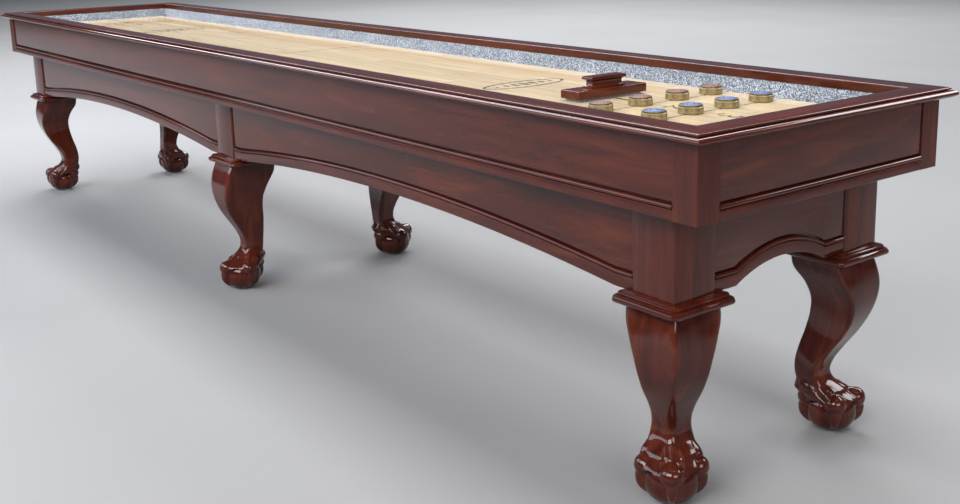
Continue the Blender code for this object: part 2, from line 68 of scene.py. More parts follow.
POST_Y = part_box("end_apron_near")[1].y + GAP + POST_WIDTH / 2
FOOT_BOTTOM = 0.006

WALL_TURNS = {"back": 0.0, "front": math.pi, "near": -math.pi / 2, "far": math.pi / 2}

# Camera: place, turn about Z, tilt below the horizon, roll, and lens on a 36 mm wide sensor
CAMERA_PLACE = (3.3038, -1.8010, 1.1305)
CAMERA_TURN = 51.83
CAMERA_TILT = 12.27
CAMERA_ROLL = -1.16
CAMERA_LENS = 43.45
CAMERA_SHIFT = (-0.0289, -0.0854)


# -------- materials

MIX_COLOUR_INPUTS = (0, 6, 7)  # the Mix node's factor and its two colours
MIX_COLOUR_OUTPUT = 2


class Nodes:
    """A material's node tree, with short calls for the nodes this scene uses."""

    def __init__(self, name):
        self.material = bpy.data.materials.new(name)
        self.material.use_nodes = True
        self.tree = self.material.node_tree
        self.shader = self.tree.nodes["Principled BSDF"]

    def node(self, kind, **settings):
        made = self.tree.nodes.new(kind)
        for key, value in settings.items():
            setattr(made, key, value)
        return made

    def link(self, source, target):
        self.tree.links.new(source, target)

    def constant(self, **values):
        for key, value in values.items():
            self.shader.inputs[key.replace("_", " ")].default_value = value

    def coordinates(self, scale=(1, 1, 1), turn=(0, 0, 0)):
        place = self.node("ShaderNodeTexCoord")
        mapping = self.node("ShaderNodeMapping")
        mapping.inputs["Scale"].default_value = scale
        mapping.inputs["Rotation"].default_value = turn
        self.link(place.outputs["Object"], mapping.inputs["Vector"])
        return mapping.outputs["Vector"]

    def noise(self, vector, scale, detail=4.0, roughness=0.55, distortion=0.0):
        made = self.node("ShaderNodeTexNoise")
        self.link(vector, made.inputs["Vector"])
        inputs = {"Scale": scale, "Detail": detail, "Roughness": roughness, "Distortion": distortion}
        for key, value in inputs.items():
            made.inputs[key].default_value = value
        return made.outputs["Fac"]

    def ramp(self, value, stops):
        made = self.node("ShaderNodeValToRGB")
        elements = made.color_ramp.elements
        while len(elements) < len(stops):
            elements.new(0.5)
        for element, (place, colour) in zip(elements, stops):
            element.position = place
            channels = colour if hasattr(colour, "__len__") else (colour,) * 3
            element.color = (*channels, 1.0)
        self.link(value, made.inputs["Fac"])
        return made.outputs["Color"]

    def feed(self, socket, value):
        """Links an output to the socket, or sets the socket to a colour or a number."""
        if hasattr(value, "is_output"):
            self.link(value, socket)
        elif hasattr(value, "__len__"):
            socket.default_value = (*value, 1.0)
        else:
            socket.default_value = value

    def mix(self, factor, first, second, blend="MIX"):
        made = self.node("ShaderNodeMix", data_type="RGBA", blend_type=blend)
        for index, value in zip(MIX_COLOUR_INPUTS, (factor, first, second)):
            self.feed(made.inputs[index], value)
        return made.outputs[MIX_COLOUR_OUTPUT]

    def math(self, operation, *values):
        made = self.node("ShaderNodeMath", operation=operation)
        for socket, value in zip(made.inputs, values):
            self.feed(socket, value)
        return made.outputs[0]

    def edge_distance(self, value):
        """How far the value is from the nearest whole number."""
        rise = self.math("FRACT", value)
        return self.math("MINIMUM", rise, self.math("SUBTRACT", 1.0, rise))

    def spread(self, value, low, high):
        """The value, from 0 to 1, spread over low to high."""
        made = self.node("ShaderNodeMapRange")
        self.link(value, made.inputs["Value"])
        made.inputs["To Min"].default_value = low
        made.inputs["To Max"].default_value = high
        return made.outputs["Result"]

    def bump(self, height, strength, distance):
        made = self.node("ShaderNodeBump")
        made.inputs["Strength"].default_value = strength
        made.inputs["Distance"].default_value = distance
        self.link(height, made.inputs["Height"])
        self.link(made.outputs["Normal"], self.shader.inputs["Normal"])

    def colour(self, socket):
        self.link(socket, self.shader.inputs["Base Color"])

    def roughness(self, socket):
        self.link(socket, self.shader.inputs["Roughness"])


# How fast the figure changes along X, Y and Z, for a grain along each axis
GRAIN = {"x": (1, 9, 9), "y": (9, 1, 9), "z": (9, 9, 1)}


def mahogany(axis):
    """Red-brown stained wood under satin lacquer, with its grain along the given axis."""
    n = Nodes(f"mahogany_{axis}")
    along = n.coordinates(GRAIN[axis])
    broad = n.noise(n.coordinates(), 2.2, 3.0)
    streaks = n.noise(along, 3.0, 7.0, 0.6, 0.9)
    pores = n.noise(n.coordinates([8 * s**1.6 for s in GRAIN[axis]]), 6.0, 3.0, 0.7)
    stain = n.ramp(
        streaks,
        [
            (0.30, (0.027, 0.0046, 0.0028)),
            (0.52, (0.052, 0.0095, 0.0044)),
            (0.72, (0.084, 0.0175, 0.0070)),
        ],
    )
    lighter = n.mix(1.0, stain, (1.45, 1.25, 1.15), "MULTIPLY")
    clouded = n.mix(n.spread(broad, 0.0, 0.9), stain, lighter)
    in_pore = n.spread(n.ramp(pores, [(0.50, 0.0), (0.68, 1.0)]), 0.0, 0.28)
    n.colour(n.mix(in_pore, clouded, (0.016, 0.004, 0.003)))
    n.roughness(n.spread(streaks, 0.24, 0.40))
    n.constant(Coat_Weight=1.0, Coat_Roughness=0.09, Coat_IOR=1.44, Specular_IOR_Level=0.0)
    n.bump(n.mix(0.5, pores, n.noise(n.coordinates(), 90.0, 2.0)), 0.08, 0.0004)
    return n.material


def maple_playfield():
    """Edge-glued maple strips in boards of differing tones, under a poured gloss finish."""
    strip_width = 0.0423
    board_length = 0.95
    n = Nodes("maple_playfield")
    place = n.node("ShaderNodeTexCoord").outputs["Object"]
    split = n.node("ShaderNodeSeparateXYZ")
    n.link(place, split.inputs["Vector"])
    across = n.math("DIVIDE", split.outputs["Y"], strip_width)
    strip = n.math("FLOOR", across)
    offset = n.node("ShaderNodeTexWhiteNoise", noise_dimensions="1D")
    n.link(strip, offset.inputs["W"])
    along = n.math("ADD", n.math("DIVIDE", split.outputs["X"], board_length), offset.outputs["Value"])
    board = n.math("FLOOR", along)
    both = n.node("ShaderNodeCombineXYZ")
    n.link(strip, both.inputs["X"])
    n.link(board, both.inputs["Y"])
    tone = n.node("ShaderNodeTexWhiteNoise", noise_dimensions="2D")
    n.link(both.outputs["Vector"], tone.inputs["Vector"])
    shifted = n.node("ShaderNodeVectorMath", operation="MULTIPLY_ADD")
    n.link(both.outputs["Vector"], shifted.inputs[0])
    shifted.inputs[1].default_value = (3.7, 5.3, 0.0)
    n.link(place, shifted.inputs[2])
    stretch = n.node("ShaderNodeMapping")
    stretch.inputs["Scale"].default_value = (1.0, 16.0, 16.0)
    n.link(shifted.outputs["Vector"], stretch.inputs["Vector"])
    figure = n.noise(stretch.outputs["Vector"], 3.0, 6.0, 0.55, 0.8)
    wood = n.ramp(
        figure,
        [
            (0.30, (0.38, 0.290, 0.185)),
            (0.55, (0.44, 0.355, 0.240)),
            (0.80, (0.49, 0.415, 0.300)),
        ],
    )
    board_tone = n.ramp(tone.outputs["Value"], [(0.0, (0.86, 0.83, 0.78)), (1.0, (1.0, 1.0, 1.0))])
    toned = n.mix(1.0, wood, board_tone, "MULTIPLY")
    seam = n.ramp(n.edge_distance(across), [(0.0, 1.0), (0.022, 0.0)])
    butt_joint = n.ramp(n.edge_distance(along), [(0.0, 1.0), (0.0012, 0.0)])
    glue_line = n.math("MULTIPLY", n.math("MAXIMUM", seam, butt_joint), 0.55)
    n.colour(n.mix(glue_line, toned, (0.20, 0.135, 0.075)))
    n.roughness(n.spread(figure, 0.20, 0.32))
    n.constant(Coat_Weight=0.8, Coat_Roughness=0.035, Coat_IOR=1.30, Specular_IOR_Level=0.0)
    n.bump(n.noise(n.coordinates(), 9.0, 2.0), 0.02, 0.0003)
    return n.material


def gutter_carpet():
    """Short loop pile in mixed pale blue, grey, white and slate yarns."""
    n = Nodes("gutter_carpet")
    place = n.coordinates()
    loops = n.node("ShaderNodeTexVoronoi")
    n.link(place, loops.inputs["Vector"])
    loops.inputs["Scale"].default_value = 420.0
    loops.inputs["Randomness"].default_value = 0.9
    yarn = n.node("ShaderNodeTexWhiteNoise", noise_dimensions="3D")
    n.link(loops.outputs["Position"], yarn.inputs["Vector"])
    flecks = n.ramp(
        yarn.outputs["Value"],
        [
            (0.00, (0.014, 0.017, 0.024)),
            (0.16, (0.050, 0.066, 0.092)),
            (0.40, (0.125, 0.155, 0.200)),
            (0.66, (0.215, 0.245, 0.290)),
            (0.90, (0.470, 0.490, 0.520)),
        ],
    )
    worn = n.noise(place, 14.0, 4.0)
    n.colour(n.mix(1.0, flecks, n.ramp(worn, [(0.3, 0.80), (0.7, 1.12)]), "MULTIPLY"))
    n.constant(Roughness=0.95, Sheen_Weight=0.25, Sheen_Roughness=0.6, IOR=1.35)
    crown = n.math("SUBTRACT", 1.0, loops.outputs["Distance"])
    fuzz = n.math("MULTIPLY", n.noise(place, 900.0, 2.0), 0.5)
    n.bump(n.math("ADD", crown, fuzz), 0.8, 0.0016)
    return n.material


def plain_wood(name, light, dark):
    """Unfinished pale wood with its grain along X."""
    n = Nodes(name)
    figure = n.noise(n.coordinates((1.5, 9, 9)), 4.0, 6.0, 0.6, 1.2)
    fibres = n.noise(n.coordinates((12, 220, 220)), 2.0, 3.0)
    n.colour(n.mix(n.spread(fibres, 0.0, 0.25), n.ramp(figure, [(0.35, dark), (0.70, light)]), dark))
    n.roughness(n.spread(fibres, 0.55, 0.75))
    n.bump(fibres, 0.25, 0.0005)
    return n.material


def zinc_steel():
    """Zinc-plated steel with a faint spangle."""
    n = Nodes("zinc_steel")
    spangle = n.noise(n.coordinates(), 60.0, 3.0)
    brushed = n.noise(n.coordinates((4, 160, 160)), 6.0, 3.0)
    n.colour(n.ramp(spangle, [(0.35, (0.42, 0.43, 0.45)), (0.70, (0.62, 0.62, 0.60))]))
    n.roughness(n.spread(brushed, 0.28, 0.48))
    n.constant(Metallic=1.0)
    n.bump(brushed, 0.12, 0.0003)
    return n.material


def puck_brass():
    """Antique brass, darker where it has tarnished in patches."""
    n = Nodes("puck_brass")
    tarnish = n.noise(n.coordinates(), 130.0, 5.0, 0.6)
    scratches = n.noise(n.coordinates((900, 900, 60)), 1.0, 3.0)
    tones = [
        (0.30, (0.170, 0.130, 0.062)),
        (0.55, (0.310, 0.245, 0.120)),
        (0.75, (0.420, 0.345, 0.185)),
    ]
    n.colour(n.ramp(tarnish, tones))
    n.roughness(n.spread(scratches, 0.30, 0.50))
    n.constant(Metallic=0.6)
    n.bump(scratches, 0.15, 0.0002)
    return n.material


def puck_bronze():
    """Dark bronze of the pucks' rims."""
    n = Nodes("puck_rim_bronze")
    tarnish = n.noise(n.coordinates(), 160.0, 4.0)
    n.colour(n.ramp(tarnish, [(0.35, (0.060, 0.046, 0.030)), (0.70, (0.150, 0.115, 0.070))]))
    n.roughness(n.spread(tarnish, 0.30, 0.45))
    n.constant(Metallic=0.8)
    n.bump(tarnish, 0.1, 0.0002)
    return n.material


PETALS = 10.0
WREATH_RADIUS = 0.0125


def puck_cap(name, deep, pale):
    """A coloured moulded cap with a printed wreath of pale dots and petals round its centre."""
    n = Nodes(name)
    place = n.node("ShaderNodeTexCoord").outputs["Object"]
    split = n.node("ShaderNodeSeparateXYZ")
    n.link(place, split.inputs["Vector"])
    x, y = split.outputs["X"], split.outputs["Y"]
    radius = n.math("SQRT", n.math("ADD", n.math("MULTIPLY", x, x), n.math("MULTIPLY", y, y)))
    angle = n.math("ARCTAN2", y, x)
    petals = n.math("SINE", n.math("MULTIPLY", angle, PETALS))
    wreath = n.math("ABSOLUTE", n.math("SUBTRACT", radius, WREATH_RADIUS))
    reach = n.math("ADD", 0.0010, n.math("MULTIPLY", petals, 0.0013))
    ring = n.math("LESS_THAN", wreath, reach)
    hub = n.math("LESS_THAN", radius, n.math("ADD", 0.0052, n.math("MULTIPLY", petals, 0.0009)))
    printed = n.math("MAXIMUM", ring, hub)
    mottle = n.noise(place, 300.0, 3.0)
    ink = n.math("MULTIPLY", printed, n.spread(mottle, 0.45, 0.95))
    ground = n.ramp(mottle, [(0.3, [0.8 * c for c in deep]), (0.7, deep)])
    n.colour(n.mix(ink, ground, pale))
    n.roughness(n.spread(mottle, 0.34, 0.46))
    n.constant(Specular_IOR_Level=0.1)
    n.bump(mottle, 0.06, 0.0002)
    return n.material


def nylon():
    """Off-white nylon with a little grime."""
    n = Nodes("glide_nylon")
    grime = n.noise(n.coordinates(), 45.0, 5.0)
    n.colour(n.ramp(grime, [(0.35, (0.60, 0.58, 0.52)), (0.65, (0.80, 0.79, 0.74))]))
    n.roughness(n.spread(grime, 0.40, 0.60))
    n.bump(n.noise(n.coordinates(), 500.0, 2.0), 0.1, 0.0003)
    return n.material


def bristle_fibre():
    """Pale grey hairs, streaked along their length."""
    n = Nodes("bristle_fibre")
    streak = n.noise(n.coordinates((700, 700, 30)), 1.0, 3.0)
    n.colour(n.ramp(streak, [(0.3, (0.46, 0.49, 0.56)), (0.7, (0.74, 0.76, 0.80))]))
    n.roughness(n.spread(streak, 0.65, 0.85))
    n.constant(Sheen_Weight=0.3)
    n.bump(streak, 0.3, 0.0003)
    return n.material


def inlay_ink(name, colour):
    """Printing under the playfield's finish, a little faded in places."""
    n = Nodes(name)
    wear = n.noise(n.coordinates(), 120.0, 4.0)
    faded = [1.7 * c + 0.01 for c in colour]
    n.colour(n.ramp(wear, [(0.3, colour), (0.8, faded)]))
    n.roughness(n.spread(wear, 0.22, 0.32))
    n.constant(Coat_Weight=1.0, Coat_Roughness=0.035)
    return n.material


def studio_floor():
    """Matt grey paper under the table."""
    n = Nodes("studio_floor")
    cloud = n.noise(n.coordinates(), 0.7, 2.0)
    n.colour(n.ramp(cloud, [(0.3, (0.23, 0.23, 0.235)), (0.7, (0.25, 0.25, 0.255))]))
    n.constant(Roughness=0.9)
    return n.material


MAHOGANY = {axis: mahogany(axis) for axis in GRAIN}
MAPLE = maple_playfield()
CARPET = gutter_carpet()
PLYWOOD = plain_wood("plywood", (0.60, 0.43, 0.25), (0.42, 0.28, 0.15))
BEARER_WOOD = plain_wood("bearer_softwood", (0.66, 0.50, 0.30), (0.50, 0.35, 0.19))
STEEL = zinc_steel()
BRASS = puck_brass()
BRONZE = puck_bronze()
CAPS = {
    "red": puck_cap("puck_cap_red", (0.090, 0.004, 0.008), (0.34, 0.18, 0.19)),
    "blue": puck_cap("puck_cap_blue", (0.004, 0.036, 0.160), (0.22, 0.33, 0.50)),
}
NYLON = nylon()
FIBRE = bristle_fibre()
INK = inlay_ink("scoring_ink", (0.030, 0.020, 0.016))

# -------- building helpers


def new_piece(name, bm, surface, body, smooth_angle=35):
    """The bmesh as a named piece that rides on a body of the frame."""
    bmesh.ops.recalc_face_normals(bm, faces=bm.faces)
    mesh = bpy.data.meshes.new(name)
    bm.to_mesh(mesh)
    bm.free()
    if smooth_angle:
        mesh.shade_smooth()
        mesh.set_sharp_from_angle(angle=math.radians(smooth_angle))
    mesh.materials.append(surface)
    obj = bpy.data.objects.new(name, mesh)
    bpy.context.scene.collection.objects.link(obj)
    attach(obj, body)
    return obj


def bevel(obj, width, segments):
    """Eases the object's edges."""
    modifier = obj.modifiers.new("eased_edges", "BEVEL")
    modifier.width = width
    modifier.segments = segments
    modifier.limit_method = "ANGLE"
    modifier.angle_limit = math.radians(40)
    modifier.harden_normals = True


def loft(rings, closed_ends=True):
    """A skin over rings of equally many points, closed by a face at each end."""
    bm = bmesh.new()
    loops = [[bm.verts.new(point) for point in ring] for ring in rings]
    count = len(loops[0])
    for lower, upper in zip(loops, loops[1:]):
        for i in range(count):
            j = (i + 1) % count
            bm.faces.new((lower[i], lower[j], upper[j], upper[i]))
    if closed_ends:
        bm.faces.new(loops[0])
        bm.faces.new(loops[-1])
    return bm


def box(low, high):
    """An upright box between two opposite corners."""
    bm = bmesh.new()
    bmesh.ops.create_cube(bm, size=1.0)
    size = [b - a for a, b in zip(low, high)]
    bmesh.ops.scale(bm, vec=size, verts=bm.verts)
    bmesh.ops.translate(bm, vec=[(a + b) / 2 for a, b in zip(low, high)], verts=bm.verts)
    return bm


def turned(profile, sides):
    """The (radius, height) profile turned about the Z axis, as one closed surface."""
    turns = [2 * math.pi * i / sides for i in range(sides)]
    return loft(
        [
            [(radius * math.cos(a), radius * math.sin(a), height) for a in turns]
            for radius, height in profile
        ]
    )


def clipped_rectangle(half_x, half_y, cut):
    """A rectangle's outline with its corners clipped."""
    x, y = half_x - cut, half_y - cut
    return [
        (half_x, -y),
        (half_x, y),
        (x, half_y),
        (-x, half_y),
        (-half_x, y),
        (-half_x, -y),
        (-x, -half_y),
        (x, -half_y),
    ]


def arc(centre, radii, start, end, count):
    """Points of an ellipse's arc from start to end, in degrees counted from the outward axis upwards."""
    for i in range(count + 1):
        angle = math.radians(start + (end - start) * i / count)
        yield (centre[0] + radii[0] * math.cos(angle), centre[1] + radii[1] * math.sin(angle))


def wall_matrix(wall, setback=0.0):
    """Carries a frame that runs along X and faces +Y onto one wall of the table."""
    reach = (HALF_WIDTH if wall in ("front", "back") else HALF_LENGTH) - setback
    return Matrix.Rotation(WALL_TURNS[wall], 4, "Z") @ Matrix.Translation((0, reach, 0))


def moulded_bar(profile, start, end, mitre=(False, False)):
    """The (outward, height) profile run along X; a mitred end follows the wall's corner."""
    direction = 1.0 if end > start else -1.0
    return loft(
        [
            [(run + (lean * out if mitred else 0.0), out, height) for out, height in profile]
            for run, mitred, lean in ((start, mitre[0], -direction), (end, mitre[1], direction))
        ]
    )


def long_side_halves():
    """Each half of each long side: its wall, its end of the table, and its direction along the wall."""
    for wall in ("front", "back"):
        for direction in (1, -1):
            end = "near" if (direction > 0) == (wall == "back") else "far"
            yield wall, end, direction


# -------- cabinet


def rail_profile():
    """Eased flat top, a narrow quirk and a bullnose."""
    overhang = OUTER_HALF_WIDTH - HALF_WIDTH
    inner = RAIL_INNER_EDGE - HALF_WIDTH
    flat = overhang - 0.011
    ease = 0.002
    quirk = flat - 0.0060
    nose_middle = RAIL_TOP - 0.0125
    return [
        (inner, RAIL_BOTTOM),
        (inner, RAIL_TOP - ease),
        *arc((inner + ease, RAIL_TOP - ease), (ease, ease), 180, 90, 4),
        *arc((flat - ease, RAIL_TOP - ease), (ease, ease), 90, 0, 4),
        (flat, RAIL_TOP - 0.0038),
        (quirk, RAIL_TOP - 0.0042),
        (quirk, RAIL_TOP - 0.0060),
        *arc((flat, nose_middle), (overhang - flat, 0.0065), 90, -62, 12),
        (flat + 0.003, RAIL_BOTTOM),
    ]


def board_profile():
    """Bottom rail, half-round bead, deep groove and sunk panel."""
    low = WALL_BOTTOM
    quirk, bead, groove = -0.0050, 0.0045, -0.0140
    return [
        (-WALL_THICKNESS, low),
        (-0.0015, low),
        *arc((-0.0015, low + 0.0015), (0.0015, 0.0015), -90, 0, 3),
        *arc((-0.0010, low + 0.0183), (0.0010, 0.0010), 0, 90, 3),
        (quirk, low + 0.0194),
        (quirk, low + 0.0206),
        *arc((-0.0020, low + 0.0255), (bead, bead), -80, 90, 10),
        (groove, low + 0.0302),
        (groove, low + 0.0350),
        *arc((-0.0031, low + 0.0358), (0.0006, 0.0006), -90, 0, 2),
        (-0.0025, WALL_TOP),
        (-WALL_THICKNESS, WALL_TOP),
    ]


def build_rails():
    """The top rails, mitred at the cabinet's corners."""
    for wall, end, direction in long_side_halves():
        corner = direction * (HALF_LENGTH - GAP / 2)
        bm = moulded_bar(rail_profile(), direction * GAP / 2, corner, (False, True))
        bm.transform(wall_matrix(wall))
        node = f"top_rail_{wall}_{end}"
        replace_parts(new_piece(f"{node}_moulding", bm, MAHOGANY["x"], TABLE, 35), node)
    for wall in ("near", "far"):
        reach = HALF_WIDTH - GAP / 2
        bm = moulded_bar(rail_profile(), -reach, reach, (True, True))
        bm.transform(wall_matrix(wall))
        node = f"top_rail_end_{wall}"
        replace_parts(new_piece(f"{node}_moulding", bm, MAHOGANY["y"], TABLE, 35), node)


def build_walls():
    """The side and end boards between the corner posts."""
    for wall, end, direction in long_side_halves():
        bm = moulded_bar(board_profile(), direction * GAP / 2, direction * (STILE_INNER_EDGE - GAP))
        bm.transform(wall_matrix(wall))
        node = f"side_board_{wall}_{end}"
        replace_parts(new_piece(f"{node}_panel", bm, MAHOGANY["x"], TABLE, 35), node)
    for wall in ("near", "far"):
        reach = HALF_WIDTH - STILE_WIDTH - GAP
        bm = moulded_bar(board_profile(), -reach, reach)
        bm.transform(wall_matrix(wall))
        node = f"end_board_{wall}"
        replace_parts(new_piece(f"{node}_panel", bm, MAHOGANY["y"], TABLE, 35), node)


def build_gutter_linings():
    """Carpet over the gutter's floor and up the walls, with its edges softened by the pile."""
    bottom, top = LINING[0].z, LINING[1].z
    thickness = HALF_WIDTH - RAIL_INNER_EDGE - WALL_THICKNESS - GAP
    side = LINING[1].y
    clear = 0.004
    field_x, field_y = PLAYFIELD[1].x + clear, PLAYFIELD[1].y + clear
    soft = 0.0015
    section = [
        (0.0, bottom),
        (0.0, top - soft),
        (-soft, top),
        (-thickness + soft, top),
        (-thickness, top - soft),
        (-thickness, bottom + thickness + 0.004),
        (-thickness - 0.0012, bottom + thickness + 0.0012),
        (-thickness - 0.004, bottom + thickness),
    ]
    for end, sign in (("near", 1), ("far", -1)):
        node = f"gutter_lining_{end}"
        outer_x = max(abs(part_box(node)[0].x), abs(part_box(node)[1].x))
        joint = GAP / 2
        rings = []
        for x, y_sign, at_corner in ((joint, -1, 0), (outer_x, -1, 1), (outer_x, 1, 1), (joint, 1, 0)):
            ring = [(sign * (x + at_corner * out), y_sign * (side + out), z) for out, z in section]
            inner_x = field_x if at_corner else x
            ring.append((sign * inner_x, y_sign * field_y, bottom + thickness))
            ring.append((sign * inner_x, y_sign * field_y, bottom))
            rings.append(ring)
        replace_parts(new_piece(f"{node}_pile", loft(rings), CARPET, TABLE, 50), node)


# -------- playfield


def build_playfield():
    """The maple board, with its edges eased."""
    low, high = PLAYFIELD
    bm = box(low, high)
    board = new_piece("playfield_board", bm, MAPLE, TABLE, 35)
    bevel(board, 0.0025, 3)
    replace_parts(board, "playfield")


INLAY_HEIGHT = 0.00012  # the printing's thickness in the finish, less than a puck's clearance
SCORING_LINES = (-1.680, -1.5275, 0.0, 1.5275, 1.680)
LINE_WIDTH = 0.004
LINE_SINK = 0.0004  # how far a scoring line's solid reaches into the board
NUMERALS = {"1": 1.440, "2": 1.602, "3": 1.745}
NUMERAL_HEIGHT = 0.062
FONT_SIZE_PER_HEIGHT = 1.4
MOTIF_PLACE = 1.085
MOTIF_HALF_SIZE = (0.048, 0.125)
MOTIF_RING_WIDTH = 0.009
LOZENGE_PITCH = 0.028
LOZENGE_SIZE, LOZENGE_TAPER = 0.022, 0.0045  # the middle one's size, and the loss at each step
LOZENGE_SHARES = (1.2, 0.55)  # its half sizes along X and Y, as shares of its size


def build_markings():
    """Scoring lines, zone numerals and a plain oval ornament at each end."""
    surface = PLAYFIELD[1].z
    reach = PLAYFIELD[1].y - 0.003
    for number, place in enumerate(SCORING_LINES, 1):
        bm = box(
            (place - LINE_WIDTH / 2, -reach, surface - LINE_SINK),
            (place + LINE_WIDTH / 2, reach, surface + INLAY_HEIGHT),
        )
        new_piece(f"scoring_line_{number}", bm, INK, TABLE, None)
    for end, sign in (("near", 1), ("far", -1)):
        for digit, place in NUMERALS.items():
            spot = (sign * place, 0.0, surface)
            build_numeral(f"numeral_{digit}_{end}", digit, spot, -sign * math.pi / 2)
        build_ornament(end, sign * MOTIF_PLACE, surface)


def build_numeral(name, digit, place, turn):
    """A printed digit, centred at the place and turned about Z."""
    curve = bpy.data.curves.new(name, "FONT")
    curve.body = digit
    curve.size = NUMERAL_HEIGHT * FONT_SIZE_PER_HEIGHT
    curve.align_x = "CENTER"
    curve.align_y = "CENTER"
    curve.extrude = INLAY_HEIGHT
    shape = bpy.data.objects.new(name + "_outline", curve)
    bpy.context.scene.collection.objects.link(shape)
    mesh = bpy.data.meshes.new_from_object(shape.evaluated_get(bpy.context.evaluated_depsgraph_get()))
    bpy.data.objects.remove(shape)
    mesh.transform(Matrix.Translation(place) @ Matrix.Rotation(turn, 4, "Z"))
    mesh.materials.clear()
    mesh.materials.append(INK)
    obj = bpy.data.objects.new(name, mesh)
    bpy.context.scene.collection.objects.link(obj)
    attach(obj, TABLE)


def build_ornament(end, place, surface):
    """An oval ring with a row of lozenges across it."""
    count = 72
    turns = [2 * math.pi * i / count for i in range(count)]
    width = MOTIF_RING_WIDTH
    rings = []
    for inset, level in ((0.0, -1), (0.0, 1), (width, 1), (width, -1), (0.0, -1)):
        half_x, half_y = MOTIF_HALF_SIZE[0] - inset, MOTIF_HALF_SIZE[1] - inset
        z = surface + level * INLAY_HEIGHT
        rings.append([(place + half_x * math.cos(a), half_y * math.sin(a), z) for a in turns])
    bm = loft(rings, closed_ends=False)
    bmesh.ops.remove_doubles(bm, verts=bm.verts, dist=1e-6)
    new_piece(f"ornament_ring_{end}", bm, INK, TABLE, None)
    bm = bmesh.new()
    for step in range(-3, 4):
        size = LOZENGE_SIZE - LOZENGE_TAPER * abs(step)
        half_x, half_y = size * LOZENGE_SHARES[0], size * LOZENGE_SHARES[1]
        y = step * LOZENGE_PITCH
        corners = ((half_x, 0), (0, half_y), (-half_x, 0), (0, -half_y))
        layers = [
            [bm.verts.new((place + a, y + b, surface + height)) for a, b in corners]
            for height in (-INLAY_HEIGHT, INLAY_HEIGHT)
        ]
        for i in range(4):
            j = (i + 1) % 4
            bm.faces.new((layers[0][i], layers[0][j], layers[1][j], layers[1][i]))
        bm.faces.new(layers[0])
        bm.faces.new(layers[1])
    new_piece(f"ornament_lozenges_{end}", bm, INK, TABLE, None)


# -------- aprons


APRON_SETBACK = 0.0025
APRON_THICKNESS = 0.020
ARCHES = {"side": (0.050, 0.045), "end": (0.062, 0.035)}  # flat at each end, rise of the arch


def apron_profile(low, top):
    """Bottom band, half-round bead, deep groove and sunk panel."""
    quirk, bead, groove = -0.0045, 0.0040, -0.0120
    return [
        (-APRON_THICKNESS, low),
        (-0.001, low),
        *arc((-0.001, low + 0.001), (0.001, 0.001), -90, 0, 2),
        *arc((-0.0009, low + 0.0241), (0.0009, 0.0009), 0, 90, 3),
        (quirk, low + 0.0252),
        (quirk, low + 0.0263),
        *arc((-0.0015, low + 0.0305), (bead, bead), -75, 90, 8),
        (groove, low + 0.0347),
        (groove, low + 0.0390),
        *arc((-0.0026, low + 0.0398), (0.0006, 0.0006), -90, 0, 2),
        (-0.0020, top),
        (-APRON_THICKNESS, top),
    ]


def arch(run, half_span, rise):
    """Height of a circle's arc over its springing line, and none beyond half_span."""
    radius = (half_span**2 + rise**2) / (2 * rise)
    return math.sqrt(radius**2 - run**2) - (radius - rise) if abs(run) < half_span else 0.0


def arched_apron(low_run, high_run, flat, rise, bottom, top, steps):
    """The apron's profile run along X, its lower edge rising in an arch between two flats."""
    middle = (low_run + high_run) / 2
    half_span = (high_run - low_run) / 2 - flat
    arched_runs = [middle + half_span * (2 * i / steps - 1) for i in range(steps + 1)]
    rings = []
    for run in [low_run, *arched_runs, high_run]:
        profile = apron_profile(bottom + arch(run - middle, half_span, rise), top)
        rings.append([(run, out, height) for out, height in profile])
    return loft(rings)


def build_aprons():
    """The arched aprons between the posts."""
    end_setback = HALF_LENGTH - CORNER_POST_X - POST_WIDTH / 2
    side_setback = HALF_WIDTH - POST_Y - POST_WIDTH / 2
    for wall in ("front", "back"):
        for end in ("near", "far"):
            node = f"side_apron_{wall}_{end}"
            low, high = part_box(node)
            mirror = 1 if wall == "back" else -1
            runs = sorted((mirror * low.x, mirror * high.x))
            bm = arched_apron(*runs, *ARCHES["side"], low.z, high.z, 56)
            bm.transform(wall_matrix(wall, side_setback + APRON_SETBACK))
            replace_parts(new_piece(f"{node}_arch", bm, MAHOGANY["x"], TABLE, 35), node)
    for wall in ("near", "far"):
        node = f"end_apron_{wall}"
        low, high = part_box(node)
        bm = arched_apron(low.y, high.y, *ARCHES["end"], low.z, high.z, 36)
        bm.transform(wall_matrix(wall, end_setback + APRON_SETBACK))
        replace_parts(new_piece(f"{node}_arch", bm, MAHOGANY["y"], TABLE, 35), node)


# -------- legs

# Height, reach outward and inward of the post's axis, then the side arrises' place and half width
CORNER_LEG = (
    (0.4035, 0.0780, -0.1020, -0.0120, 0.0925),
    (0.3750, 0.0885, -0.0960, -0.0060, 0.0940),
    (0.3400, 0.0950, -0.0700, 0.0120, 0.0870),
    (0.3050, 0.0905, -0.0555, 0.0240, 0.0785),
    (0.2700, 0.0775, -0.0560, 0.0220, 0.0705),
    (0.2300, 0.0540, -0.0655, 0.0060, 0.0600),
    (0.1900, 0.0240, -0.0800, -0.0200, 0.0490),
    (0.1600, 0.0050, -0.0870, -0.0380, 0.0440),
    (0.1360, -0.0010, -0.0870, -0.0435, 0.0445),
    (0.1170, 0.0084, -0.0830, -0.0373, 0.0500),
    (0.0990, 0.0308, -0.0780, -0.0236, 0.0570),
)
